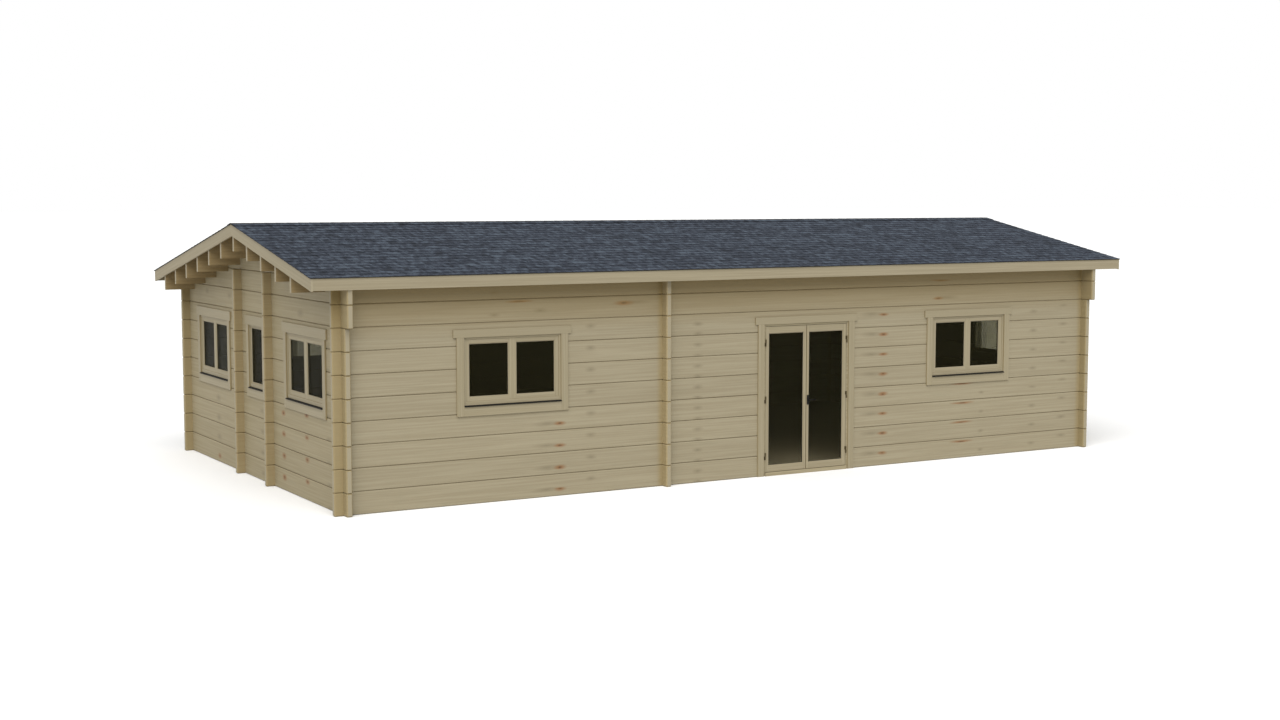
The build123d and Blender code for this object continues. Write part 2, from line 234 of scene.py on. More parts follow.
def wood(name, pale, dark, axes="XZY", member_axis="Z", member_pitch=log_height, member_start=0.0, turn=0.0,
         seam=0.0, red_knots=(), grey_knots=(), painted_shade=(), painted_eave_shade=(), spread=0.02, roughness=0.62):
    """Planed softwood with its fibres along the first of the axes, and a tone of its own for each member.

    Axes of None read the piece's own map instead, along and across the fibres. Stretches of painted shade are
    their middle along the fibres, half length, soft margin and strength. Painted shade under the eaves starts
    at one height and is brownest at another.
    """
    made, tree, shader = material(name, Roughness=roughness, IOR=1.48, Specular_IOR_Level=0.3)
    if axes is None:
        split = add(tree, "ShaderNodeSeparateXYZ", {0: add(tree, "ShaderNodeUVMap", uv_map="grain")})
        along, across, deep = split.outputs[0], split.outputs[1], split.outputs[1]
        member_value, member_pitch = across, map_pitch
    else:
        where = add(tree, "ShaderNodeTexCoord").outputs["Object"]
        if turn:
            where = add(tree, "ShaderNodeMapping", {"Vector": where, "Rotation": (turn, 0, 0)})
        split = add(tree, "ShaderNodeSeparateXYZ", {0: where})
        along, across, deep = (split.outputs["XYZ".index(axis)] for axis in axes)
        member_value = split.outputs["XYZ".index(member_axis)]
    scaled = add(tree, "ShaderNodeMath", {
        0: member_value, 1: 1 / member_pitch, 2: -member_start / member_pitch}, operation="MULTIPLY_ADD")
    member = add(tree, "ShaderNodeMath", {0: scaled}, operation="FLOOR")
    share = add(tree, "ShaderNodeMath", {0: scaled}, operation="FRACT")
    height = add(tree, "ShaderNodeMath", {0: share, 1: member_pitch}, operation="MULTIPLY")

    # Each member shows another stretch of the timber
    chance = add(tree, "ShaderNodeTexWhiteNoise", {"W": member}, noise_dimensions="1D")
    shift = add(tree, "ShaderNodeMath", {0: chance, 1: 23.0, 2: along}, operation="MULTIPLY_ADD")
    lift = add(tree, "ShaderNodeMath", {0: member, 1: 3.7, 2: deep}, operation="MULTIPLY_ADD")
    fibre_place = add(tree, "ShaderNodeCombineXYZ", {0: shift, 1: across, 2: lift})

    # Growth bands about 20 mm apart, fibres about 3 mm apart, and grey smears about 0.4 m long
    bands = noise_along(tree, fibre_place, (0.8, 46.0, 46.0), 3.0, 0.55)
    fibres = noise_along(tree, fibre_place, (9.0, 330.0, 330.0), 2.0, 0.5)
    smears = noise_along(tree, fibre_place, (2.2, 17.0, 17.0), 3.0, 0.6)
    figure = add(tree, "ShaderNodeMapRange", {"Value": bands, "From Min": 0.36, "From Max": 0.7})
    figure = add(tree, "ShaderNodeMath", {0: fibres, 1: 0.5, 2: figure}, operation="MULTIPLY_ADD")
    shade = add(tree, "ShaderNodeMix", {0: figure, 6: colour(pale), 7: colour(dark)}, data_type="RGBA")
    smear = add(tree, "ShaderNodeMapRange", {
        "Value": smears, "From Min": 0.56, "From Max": 0.76, "To Max": 0.3})
    shade = add(tree, "ShaderNodeMix", {0: smear, 6: shade, 7: colour("#938C74")}, data_type="RGBA")

    # The stated knots, on fibres that bend a little
    bent = add(tree, "ShaderNodeMath", {0: smears, 1: 0.04, 2: -0.02}, operation="MULTIPLY_ADD")
    bent_height = add(tree, "ShaderNodeMath", {0: height, 1: bent}, operation="ADD")
    for knots, tint, heart, strength in (
            (grey_knots, "#7E745D", "#746A54", 0.5), (red_knots, "#85582F", "#5A3C26", 0.85)):
        if knots:
            distance = knot_field(tree, along, bent_height, member, knots)
            distance = add(tree, "ShaderNodeMath", {0: bands, 1: 0.9, 2: distance}, operation="MULTIPLY_ADD")
            core = add(tree, "ShaderNodeMapRange", {
                "Value": distance, "From Min": 0.75, "From Max": 0.95, "To Min": 1.0, "To Max": 0.0})
            tinted = add(tree, "ShaderNodeMix", {
                0: core, 6: colour(tint), 7: colour(heart)}, data_type="RGBA")
            amount = add(tree, "ShaderNodeMapRange", {
                "Value": distance, "From Min": 0.85, "From Max": 2.3, "To Min": strength, "To Max": 0.0})
            shade = add(tree, "ShaderNodeMix", {0: amount, 6: shade, 7: tinted}, data_type="RGBA")

    # Each member is a little lighter or darker than the next
    tone = add(tree, "ShaderNodeMapRange", {"Value": chance, "To Min": 1 - spread, "To Max": 1 + spread})
    shade = add(tree, "ShaderNodeVectorMath", {0: shade, "Scale": tone}, operation="SCALE")
    if axes is None:
        # Painted shade: the narrow sides of joinery, which lie in the second half of its map, are browner
        # than its faces
        amount = add(tree, "ShaderNodeMath", {0: share, 1: 0.5}, operation="GREATER_THAN")
        amount = add(tree, "ShaderNodeMath", {0: amount, 1: 0.75}, operation="MULTIPLY")
        shade = add(tree, "ShaderNodeMix", {0: amount, 6: shade, 7: colour(painted_shade_brown)}, data_type="RGBA")
    else:
        # Painted shade turns the log ends beyond the walls browner, and the wall beside the log ends that
        # cross it;
        # the pale sawn faces of the log ends show growth rings
        for middle, half, soft, strength in painted_shade:
            away = add(tree, "ShaderNodeMath", {0: along, 1: middle}, operation="SUBTRACT")
            away = add(tree, "ShaderNodeMath", {0: away}, operation="ABSOLUTE")
            amount = add(tree, "ShaderNodeMapRange", {
                "Value": away, "From Min": half, "From Max": half + soft, "To Min": strength, "To Max": 0.0},
                interpolation_type="SMOOTHSTEP")
            shade = add(tree, "ShaderNodeMix", {0: amount, 6: shade, 7: colour(painted_shade_brown)}, data_type="RGBA")
        # Painted shade under the eaves: the walls turn browner towards their tops
        if painted_eave_shade:
            amount = add(tree, "ShaderNodeMapRange", {
                "Value": member_value, "From Min": painted_eave_shade[0], "From Max": painted_eave_shade[1], "To Max": 0.85})
            shade = add(tree, "ShaderNodeMix", {0: amount, 6: shade, 7: colour("#8C7644")}, data_type="RGBA")
        facing = add(tree, "ShaderNodeSeparateXYZ", {0: add(tree, "ShaderNodeTexCoord").outputs["Normal"]})
        end = add(tree, "ShaderNodeMath", {0: facing.outputs["XYZ".index(axes[0])]}, operation="ABSOLUTE")
        end = add(tree, "ShaderNodeMapRange", {"Value": end, "From Min": 0.8, "From Max": 0.95})
        pith = add(tree, "ShaderNodeCombineXYZ", {0: deep, 1: bent_height})
        rings = add(tree, "ShaderNodeTexWave", {
            "Vector": pith, "Scale": 70.0, "Distortion": 0.6, "Detail": 1.0},
            wave_type="RINGS", rings_direction="Z")
        ringed = add(tree, "ShaderNodeMix", {
            0: rings, 6: colour("#A69C85"), 7: colour("#9A8F75")}, data_type="RGBA")
        shade = add(tree, "ShaderNodeMix", {0: end, 6: shade, 7: ringed}, data_type="RGBA")
    if seam:
        # Painted shade: the joint between two members holds a dark line for the shade in its groove
        edge = add(tree, "ShaderNodeMath", {0: height, 1: member_pitch / 2}, operation="PINGPONG")
        line = add(tree, "ShaderNodeMapRange", {
            "Value": edge, "From Min": seam * 0.4, "From Max": seam, "To Min": 0.6, "To Max": 0.0})
        shade = add(tree, "ShaderNodeMix", {0: line, 6: shade, 7: colour("#54452B")}, data_type="RGBA")
    dress(tree, shader, shade,
          add(tree, "ShaderNodeBump", {"Height": figure, "Strength": 0.25, "Distance": 0.0006}))
    return made


# Knots of the front and the left wall: metres along from its left or front end, metres above the log's lower
# edge, half sizes, courses
front_red = [(2.79, 0.083, 0.055, 0.016, (0, 3)), (7.73, 0.17, 0.055, 0.017, (0, 7)),
             (2.25, 0.238, 0.12, 0.012, (8, 8)), (3.69, 0.176, 0.09, 0.021, (8, 8)),
             (8.67, 0.088, 0.06, 0.014, (8, 8)), (9.12, 0.234, 0.13, 0.011, (0, 3)),
             (8.71, 0.071, 0.12, 0.012, (9, 9))]
front_grey = [(2.61, 0.09, 0.12, 0.02, (0, 3)), (7.53, 0.178, 0.12, 0.022, (0, 7)),
              (3.86, 0.18, 0.14, 0.017, (8, 8)), (8.82, 0.095, 0.13, 0.017, (8, 8)),
              (4.77, 0.15, 0.05, 0.02, (0, 7)), (4.77, 0.021, 0.05, 0.014, (0, 7)),
              (4.23, 0.07, 0.03, 0.018, (0, 7)), (3.22, 0.18, 0.05, 0.022, (0, 7)),
              (1.92, 0.085, 0.05, 0.016, (8, 9)), (2.53, 0.124, 0.06, 0.015, (8, 8)),
              (9.47, 0.09, 0.035, 0.018, (0, 3)), (10.99, 0.196, 0.06, 0.017, (0, 7)),
              (10.42, 0.12, 0.05, 0.018, (0, 7))]
left_red = [(2.06, 0.165, 0.05, 0.026, (0, 3)), (1.21, 0.225, 0.05, 0.024, (0, 3)),
            (4.8, 0.083, 0.05, 0.026, (0, 0))]
left_grey = [(4.8, 0.083, 0.075, 0.035, (1, 3)), (1.37, 0.095, 0.075, 0.035, (8, 8)),
             (0.45, 0.02, 0.06, 0.02, (0, 7)), (4.21, 0.168, 0.06, 0.03, (8, 8)),
             (5.24, 0.187, 0.06, 0.03, (8, 8)), (2.9, 0.1, 0.06, 0.025, (0, 7))]


def along_wall(knots, start, direction=1):
    """The stated knots in the frame's own coordinates, from one end of a wall."""
    return [(start + direction * knot[0], *knot[1:]) for knot in knots]


# Stretches of painted shade in brown: the log ends beyond the walls, and the wall beside the log ends that
# cross it
long_painted_shade = [(left_x - 0.06, 0.055, 0.02, 0.85), (right_x + 0.06, 0.055, 0.02, 0.85),
              (crossing_x - 0.035, 0.01, 0.09, 0.8), (right_x - log_thickness, 0.01, 0.09, 0.7)]
side_painted_shade = [(front_y - 0.16, 0.155, 0.02, 0.7), (back_y + 0.16, 0.155, 0.02, 0.7)]
raw_pale, raw_dark = "#A59B82", "#988D74"
gable_pale, gable_dark = "#A3977B", "#968A6D"

# Planed raw spruce logs: matt, pale khaki, with soft bands, red-brown knots and grey smears
front_logs = wood(
    "raw_spruce_logs_front", raw_pale, raw_dark, seam=long_seam, painted_shade=long_painted_shade, painted_eave_shade=under_eave,
    red_knots=along_wall(front_red, left_x), grey_knots=along_wall(front_grey, left_x))
back_logs = wood(
    "raw_spruce_logs_back", raw_pale, raw_dark, seam=long_seam, painted_shade=long_painted_shade, painted_eave_shade=under_eave,
    red_knots=along_wall(front_red, right_x, -1), grey_knots=along_wall(front_grey, right_x, -1))
left_logs = wood(
    "raw_spruce_logs_left", gable_pale, gable_dark, axes="YZX", seam=gable_seam, painted_shade=side_painted_shade,
    red_knots=along_wall(left_red, front_y), grey_knots=along_wall(left_grey, front_y))
right_logs = wood(
    "raw_spruce_logs_right", gable_pale, gable_dark, axes="YZX", seam=gable_seam, painted_shade=side_painted_shade,
    red_knots=along_wall(left_red, back_y, -1), grey_knots=along_wall(left_grey, back_y, -1))
# The log ends in the columns have their own copies of the log wood, whose colours are set with the painted
# shade on their sides: darker and browner on the gable, lighter on the long walls
side_cross_logs = wood("raw_spruce_log_ends_along_length", "#A19272", "#958463", seam=long_seam,
                       painted_shade=[(left_x + log_thickness / 2, 0.15, 0.02, 0.5)])
long_cross_logs = wood("raw_spruce_log_ends_along_depth", "#B3A382", "#A69673", axes="YZX", seam=long_seam,
                       painted_shade=[(front_y, 0.3, 0.02, 0.5), (back_y, 0.3, 0.02, 0.5)])

# Planed spruce beams, painted darker and browner than the logs as shade under the roof, one tone for each
# purlin
beams = wood("planed_spruce_purlins", "#9B8763", "#8C7853", member_axis="Y", member_pitch=purlin_spacing,
             member_start=ridge_y - purlin_spacing / 2)

# Sawn spruce bearers: rougher and a little greyer
bearers = wood("sawn_spruce_bearers", "#A39880", "#8F8468", axes="YZX", member_axis="X", member_pitch=1.0,
               roughness=0.75)

# Spruce boards about 120 mm wide, planed and then left bare
roof_board_wood = wood("planed_spruce_roof_boards", "#A08E69", "#8F7D59", axes="YXZ", member_axis="X",
                       member_pitch=board_pitch)
floor_board_wood = wood("planed_spruce_floor_boards", "#B0A58B", "#9F947A", axes="XYZ", member_axis="Y",
                        member_pitch=board_pitch)

# Planed spruce trim, the fibres along each board
eaves_wood = wood("planed_spruce_eaves_boards", "#A49980", "#978C73", member_axis="Y", member_pitch=2.0)
front_barge_wood = wood("planed_spruce_front_barge_boards", "#A49980", "#978C73", axes="YZX", member_axis="X",
                        member_pitch=4.0, turn=-pitch)
back_barge_wood = wood("planed_spruce_back_barge_boards", "#A49980", "#978C73", axes="YZX", member_axis="X",
                       member_pitch=4.0, turn=pitch)

# Glued pine members of casings, frames, sashes and leaves: smoother, each with its own tone, their narrow
# sides browner with painted shade
joinery = wood("planed_pine_joinery", "#A49980", "#978C71", axes=None, spread=0.03, roughness=0.55)
threshold_wood = wood("planed_pine_threshold", "#ACA185", "#998D70", axes="XYZ", member_pitch=1.0)

# Clear float glass that throws back little light, drawn partly opaque with a dull olive sheen painted into
# it, which stands in for the shade of the room behind: near black in the windows, and a little clearer in the
# door, where the floor behind it shows
window_glass = material("clear_float_glass_windows", Base_Color=colour("#605D44"), Roughness=0.0, IOR=1.035,
                        Transmission_Weight=0.9, Alpha=0.65)[0]
door_glass = material("clear_float_glass_doors", Base_Color=colour("#605D44"), Roughness=0.0, IOR=1.03,
                      Transmission_Weight=0.82, Alpha=0.26)[0]

# Black rubber glazing strip: matt and soft
rubber, tree, shader = material("black_rubber_strip", Roughness=0.7, Specular_IOR_Level=0.3)
where = add(tree, "ShaderNodeTexCoord").outputs["Object"]
speckle = add(tree, "ShaderNodeTexNoise", {"Vector": where, "Scale": 900.0, "Detail": 2.0})
dress(tree, shader,
      add(tree, "ShaderNodeMix", {0: speckle, 6: colour("#1A1A19"), 7: colour("#2A2A28")}, data_type="RGBA"))

# Galvanised steel hinges: a fine spangle about 4 mm across, dulled to a brownish grey
steel, tree, shader = material("galvanised_steel", Metallic=1.0, Roughness=0.5)
where = add(tree, "ShaderNodeTexCoord").outputs["Object"]
spangle = add(tree, "ShaderNodeTexVoronoi", {"Vector": where, "Scale": 260.0}).outputs["Color"]
dress(tree, shader,
      add(tree, "ShaderNodeMix", {0: spangle, 6: colour("#4C432F"), 7: colour("#665A42")}, data_type="RGBA"))

# Black powder coat on the handles and sills: matt, with a fine orange peel about 1 mm across
coat, tree, shader = material("black_powder_coat", Roughness=0.65, IOR=1.5, Specular_IOR_Level=0.15)
where = add(tree, "ShaderNodeTexCoord").outputs["Object"]
peel = add(tree, "ShaderNodeTexNoise", {"Vector": where, "Scale": 1000.0, "Detail": 1.0})
dress(tree, shader,
      add(tree, "ShaderNodeMix", {0: peel, 6: colour("#11100E"), 7: colour("#191815")}, data_type="RGBA"),
      add(tree, "ShaderNodeBump", {"Height": peel, "Strength": 0.3, "Distance": 0.0001}))

# Bitumen shingles with mineral granules: slate blue-grey in soft blotches about 60 mm across, the granules
# drawn 4 mm coarse, each tab with its own tone; cut edges and the fold on the ridge show bare black bitumen
felt, tree, shader = material("bitumen_shingles_slate_granules", Roughness=0.93, Specular_IOR_Level=0.2)
coordinates = add(tree, "ShaderNodeTexCoord")
where = coordinates.outputs["Object"]
granules = add(tree, "ShaderNodeTexVoronoi", {"Vector": where, "Scale": 240.0}).outputs["Color"]
granules = add(tree, "ShaderNodeSeparateXYZ", {0: granules})
blotches = noise_along(tree, where, (14.0, 8.0, 8.0), 3.0, 0.65)
mixed = add(tree, "ShaderNodeAttribute", attribute_name="tone").outputs["Fac"]
mixed = add(tree, "ShaderNodeMath", {0: mixed, 1: 0.25}, operation="MULTIPLY")
mixed = add(tree, "ShaderNodeMath", {0: granules, 1: 0.25, 2: mixed}, operation="MULTIPLY_ADD")
mixed = add(tree, "ShaderNodeMath", {0: blotches, 1: 2.2, 2: mixed}, operation="MULTIPLY_ADD")
slate = add(tree, "ShaderNodeMapRange", {"Value": mixed, "From Min": 0.97, "From Max": 1.73})
slate = add(tree, "ShaderNodeValToRGB", {0: slate},
            stops=[(0.0, "#1B2028"), (0.5, "#323843"), (1.0, "#4E5762")])
facing = add(tree, "ShaderNodeSeparateXYZ", {0: coordinates.outputs["Normal"]})
up = add(tree, "ShaderNodeMath", {0: facing.outputs[2]}, operation="ABSOLUTE")
cut = add(tree, "ShaderNodeMapRange", {
    "Value": up, "From Min": 0.5, "From Max": 0.8, "To Min": 1.0, "To Max": 0.0})
crest = add(tree, "ShaderNodeSeparateXYZ", {0: where})
crest = add(tree, "ShaderNodeMapRange", {
    "Value": crest.outputs[2], "From Min": cad_high.z - fold_start, "From Max": cad_high.z - fold_full})
bare = add(tree, "ShaderNodeMath", {0: cut, 1: crest}, operation="MAXIMUM")
dress(tree, shader,
      add(tree, "ShaderNodeMix", {0: bare, 6: slate, 7: colour("#1B1C1F")}, data_type="RGBA"),
      add(tree, "ShaderNodeBump", {"Height": granules, "Strength": 0.5, "Distance": 0.0012}))


# Pieces that repeat are grown by geometry trees and kept as plain meshes
def geometry_tree(name, inputs):
    """A geometry tree with an input for each name, kind and value."""
    tree = bpy.data.node_groups.new(name, "GeometryNodeTree")
    tree.interface.new_socket("Geometry", in_out="OUTPUT", socket_type="NodeSocketGeometry")
    for label, kind, value in inputs:
        socket = tree.interface.new_socket(label, in_out="INPUT", socket_type="NodeSocket" + kind)
        socket.default_value = value
    return tree, add(tree, "NodeGroupInput").outputs, add(tree, "NodeGroupOutput").inputs


def grow(tree, name, **values):
    """Runs a geometry tree with the given inputs and keeps the result as a plain mesh."""
    holder = bpy.data.objects.new(name, bpy.data.meshes.new(name))
    bpy.context.scene.collection.objects.link(holder)
    modifier = holder.modifiers.new(tree.name, "NODES")
    modifier.node_group = tree
    for item in tree.interface.items_tree:
        label = item.name.replace(" ", "_").lower()
        if item.in_out == "INPUT" and label in values:
            modifier[item.identifier] = values[label]
    graph = bpy.context.evaluated_depsgraph_get()
    mesh = bpy.data.meshes.new_from_object(
        holder.evaluated_get(graph), preserve_all_data_layers=True, depsgraph=graph)
    holder.modifiers.clear()
    holder.data = mesh
    return holder


def shingle_tree():
    """Courses of shingle tabs on one slope: X along the eaves, Y down the slope, Z off the deck."""
    tree, given, out = geometry_tree("shingle_courses", [
        ("Length", "Float", 12.0), ("Run", "Float", 3.0), ("Tab Width", "Float", 0.333),
        ("Exposure", "Float", 0.14), ("Lap", "Float", 0.06), ("Slot", "Float", 0.006),
        ("Layer", "Float", shingle_layer), ("Sheet", "Float", 0.0034), ("Seed", "Int", 3),
        ("Turn", "Rotation", (0, 0, 0)), ("Place", "Vector", (0, 0, 0)), ("Material", "Material", None)])
    math_kind = "ShaderNodeMath"
    half = add(tree, math_kind, {0: given["Length"], 1: 0.5}, operation="MULTIPLY")
    minus_half = add(tree, math_kind, {0: half, 1: -1.0}, operation="MULTIPLY")

    # As many tabs as cover the slope, each with its row and its column
    tabs_across = add(tree, math_kind, {0: given["Length"], 1: given["Tab Width"]}, operation="DIVIDE")
    columns = add(tree, math_kind, {0: tabs_across}, operation="CEIL")
    columns = add(tree, math_kind, {0: columns, 1: 1.0}, operation="ADD")
    rows_down = add(tree, math_kind, {0: given["Run"], 1: given["Exposure"]}, operation="DIVIDE")
    rows = add(tree, math_kind, {0: rows_down}, operation="CEIL")
    count = add(tree, math_kind, {0: rows, 1: columns}, operation="MULTIPLY")
    points = add(tree, "GeometryNodePoints", {"Count": count})
    index = add(tree, "GeometryNodeInputIndex")
    row = add(tree, math_kind, {0: index, 1: 0.5}, operation="ADD")
    row = add(tree, math_kind, {0: row, 1: columns}, operation="DIVIDE")
    row = add(tree, math_kind, {0: row}, operation="FLOOR")
    passed = add(tree, math_kind, {0: row, 1: columns}, operation="MULTIPLY")
    column = add(tree, math_kind, {0: index, 1: passed}, operation="SUBTRACT")

    # Every other course is shifted by half a tab, and no tab passes the verges
    odd = add(tree, math_kind, {0: row, 1: 2.0}, operation="MODULO")
    column = add(tree, math_kind, {0: odd, 1: -0.5, 2: column}, operation="MULTIPLY_ADD")
    start = add(tree, math_kind, {0: column, 1: given["Tab Width"], 2: minus_half}, operation="MULTIPLY_ADD")
    end = add(tree, math_kind, {0: start, 1: given["Tab Width"]}, operation="ADD")
    end = add(tree, math_kind, {0: end, 1: given["Slot"]}, operation="SUBTRACT")
    start = add(tree, "ShaderNodeClamp", {"Value": start, "Min": minus_half, "Max": half})
    end = add(tree, "ShaderNodeClamp", {"Value": end, "Min": minus_half, "Max": half})
    width = add(tree, math_kind, {0: end, 1: start}, operation="SUBTRACT")
    middle_x = add(tree, math_kind, {0: start, 1: end}, operation="ADD")
    middle_x = add(tree, math_kind, {0: middle_x, 1: 0.5}, operation="MULTIPLY")
    up_slope = add(tree, math_kind, {0: row, 1: given["Exposure"]}, operation="MULTIPLY")
    low = add(tree, math_kind, {0: given["Run"], 1: up_slope}, operation="SUBTRACT")
    reach = add(tree, math_kind, {0: given["Exposure"], 1: given["Lap"]}, operation="ADD")
    high = add(tree, math_kind, {0: low, 1: reach}, operation="SUBTRACT")
    high = add(tree, math_kind, {0: high, 1: 0.0}, operation="MAXIMUM")
    depth = add(tree, math_kind, {0: low, 1: high}, operation="SUBTRACT")
    middle_y = add(tree, math_kind, {0: low, 1: high}, operation="ADD")
    middle_y = add(tree, math_kind, {0: middle_y, 1: 0.5}, operation="MULTIPLY")

    # Each tab leans on the course below it
    rise = add(tree, math_kind, {0: given["Layer"], 1: given["Sheet"]}, operation="SUBTRACT")
    least_depth = add(tree, math_kind, {0: depth, 1: 0.03}, operation="MAXIMUM")
    lean = add(tree, math_kind, {0: rise, 1: least_depth}, operation="DIVIDE")
    middle_z = add(tree, math_kind, {0: given["Layer"], 1: 0.5}, operation="MULTIPLY")
    place = add(tree, "ShaderNodeCombineXYZ", {0: middle_x, 1: middle_y, 2: middle_z})
    laid = add(tree, "GeometryNodeSetPosition", {"Geometry": points, "Position": place})
    tab = add(tree, "GeometryNodeMeshCube", {
        "Size": (1, 1, 1), "Vertices X": 4, "Vertices Y": 3, "Vertices Z": 2})
    laid = add(tree, "GeometryNodeInstanceOnPoints", {
        "Points": laid, "Instance": tab, "Rotation": add(tree, "ShaderNodeCombineXYZ", {0: lean}),
        "Scale": add(tree, "ShaderNodeCombineXYZ", {0: width, 1: depth, 2: given["Sheet"]})})
    least = add(tree, math_kind, {0: width, 1: depth}, operation="MINIMUM")
    thin = add(tree, math_kind, {0: least, 1: 0.02}, operation="LESS_THAN")
    laid = add(tree, "GeometryNodeDeleteGeometry", {"Geometry": laid, "Selection": thin}, domain="INSTANCE")
    tone = add(tree, "FunctionNodeRandomValue", {"Seed": given["Seed"]}, data_type="FLOAT")
    laid = add(tree, "GeometryNodeStoreNamedAttribute", {"Geometry": laid, "Name": "tone", "Value": tone},
               data_type="FLOAT", domain="INSTANCE")
    laid = add(tree, "GeometryNodeRealizeInstances", {"Geometry": laid})

    # A starter strip under the lowest course closes the eave
    strip_size = add(tree, "ShaderNodeCombineXYZ", {0: given["Length"], 1: given["Exposure"], 2: rise})
    strip = add(tree, "GeometryNodeMeshCube", {
        "Size": strip_size, "Vertices X": 12, "Vertices Y": 2, "Vertices Z": 2})
    strip_y = add(tree, math_kind, {0: given["Exposure"], 1: -0.5, 2: given["Run"]}, operation="MULTIPLY_ADD")
    strip_z = add(tree, math_kind, {0: rise, 1: 0.5}, operation="MULTIPLY")
    strip = add(tree, "GeometryNodeTransform", {
        "Geometry": strip, "Translation": add(tree, "ShaderNodeCombineXYZ", {1: strip_y, 2: strip_z})})
    joined = add(tree, "GeometryNodeJoinGeometry")
    tree.links.new(laid.outputs[0], joined.inputs[0])
    tree.links.new(strip.outputs[0], joined.inputs[0])

    # The sheets lie slightly unevenly, never above their layer
    wave = add(tree, "ShaderNodeTexNoise", {"Scale": 6.0, "Detail": 1.0})
    sag = add(tree, math_kind, {0: wave, 1: -0.0012}, operation="MULTIPLY")
    offset = add(tree, "ShaderNodeCombineXYZ", {2: sag})
    laid = add(tree, "GeometryNodeSetPosition", {"Geometry": joined, "Offset": offset})
    laid = add(tree, "GeometryNodeTransform", {
        "Geometry": laid, "Rotation": given["Turn"], "Translation": given["Place"]})
    laid = add(tree, "GeometryNodeSetMaterial", {"Geometry": laid, "Material": given["Material"]})
    tree.links.new(laid.outputs[0], out[0])
    return tree


shingles = shingle_tree()
roof_length = front_roof_high.x - front_roof_low.x


def slope_run(eave_y):
    """Length of a slope's shingles from the ridge to the eave, measured on the deck."""
    return (abs(eave_y - ridge_y) - shingle_layer * math.sin(pitch)) / math.cos(pitch)


for side, eave_y, spin, seed in (("front", front_roof_low.y, math.pi, 3), ("back", back_eave_y, 0.0, 5)):
    laid = grow(shingles, side + "_shingle_tabs", length=roof_length, run=slope_run(eave_y), seed=seed,
                turn=(-pitch, 0.0, spin), place=(0.0, ridge_y, ridge_z), material=felt)
    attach(laid, "cabin")
    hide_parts(side + "_shingles")


def cap_tree():
    """Folded strips along the ridge, each lapping the one before it."""
    tree, given, out = geometry_tree("ridge_caps", [
        ("Length", "Float", 12.0), ("Width", "Float", cap_width), ("Exposure", "Float", 0.145),
        ("Lap", "Float", 0.05), ("Layer", "Float", cap_layer), ("Sheet", "Float", cap_sheet),
        ("Slope", "Float", 0.19), ("Seed", "Int", 8), ("Place", "Vector", (0, 0, 0)),
        ("Material", "Material", None)])
    math_kind = "ShaderNodeMath"
    half = add(tree, math_kind, {0: given["Length"], 1: 0.5}, operation="MULTIPLY")
    count = add(tree, math_kind, {0: given["Length"], 1: given["Exposure"]}, operation="DIVIDE")
    count = add(tree, math_kind, {0: count}, operation="FLOOR")
    step = add(tree, math_kind, {0: given["Length"], 1: count}, operation="DIVIDE")
    passed = add(tree, math_kind, {0: add(tree, "GeometryNodeInputIndex"), 1: step}, operation="MULTIPLY")
    start = add(tree, math_kind, {0: passed, 1: half}, operation="SUBTRACT")
    end = add(tree, math_kind, {0: start, 1: step}, operation="ADD")
    end = add(tree, math_kind, {0: end, 1: given["Lap"]}, operation="ADD")
    end = add(tree, math_kind, {0: end, 1: half}, operation="MINIMUM")
    span = add(tree, math_kind, {0: end, 1: start}, operation="SUBTRACT")
    middle = add(tree, math_kind, {0: start, 1: end}, operation="ADD")
    middle = add(tree, math_kind, {0: middle, 1: 0.5}, operation="MULTIPLY")
    lift = add(tree, math_kind, {0: given["Layer"], 1: 0.5}, operation="MULTIPLY")
    laid = add(tree, "GeometryNodeSetPosition", {
        "Geometry": add(tree, "GeometryNodePoints", {"Count": count}),
        "Position": add(tree, "ShaderNodeCombineXYZ", {0: middle, 2: lift})})
    strip = add(tree, "GeometryNodeMeshCube", {
        "Size": (1, 1, 1), "Vertices X": 2, "Vertices Y": 7, "Vertices Z": 2})
    across = add(tree, math_kind, {0: given["Width"], 1: 2.0}, operation="MULTIPLY")
    rise = add(tree, math_kind, {0: given["Layer"], 1: given["Sheet"]}, operation="SUBTRACT")
    lean = add(tree, math_kind, {0: rise, 1: span}, operation="DIVIDE")
    laid = add(tree, "GeometryNodeInstanceOnPoints", {
        "Points": laid, "Instance": strip, "Rotation": add(tree, "ShaderNodeCombineXYZ", {1: lean}),
        "Scale": add(tree, "ShaderNodeCombineXYZ", {0: span, 1: across, 2: given["Sheet"]})})
    tone = add(tree, "FunctionNodeRandomValue", {"Seed": given["Seed"]}, data_type="FLOAT")
    laid = add(tree, "GeometryNodeStoreNamedAttribute", {"Geometry": laid, "Name": "tone", "Value": tone},
               data_type="FLOAT", domain="INSTANCE")
    laid = add(tree, "GeometryNodeRealizeInstances", {"Geometry": laid})

    # Folded over the ridge
    split = add(tree, "ShaderNodeSeparateXYZ", {0: add(tree, "GeometryNodeInputPosition")})
    off_ridge = add(tree, math_kind, {0: split.outputs[1]}, operation="ABSOLUTE")
    fall = add(tree, math_kind, {0: given["Slope"], 1: -1.0}, operation="MULTIPLY")
    drop = add(tree, math_kind, {0: off_ridge, 1: fall}, operation="MULTIPLY")
    offset = add(tree, "ShaderNodeCombineXYZ", {2: drop})
    laid = add(tree, "GeometryNodeSetPosition", {"Geometry": laid, "Offset": offset})
    laid = add(tree, "GeometryNodeTransform", {"Geometry": laid, "Translation": given["Place"]})
    laid = add(tree, "GeometryNodeSetMaterial", {"Geometry": laid, "Material": given["Material"]})
    tree.links.new(laid.outputs[0], out[0])
    return tree


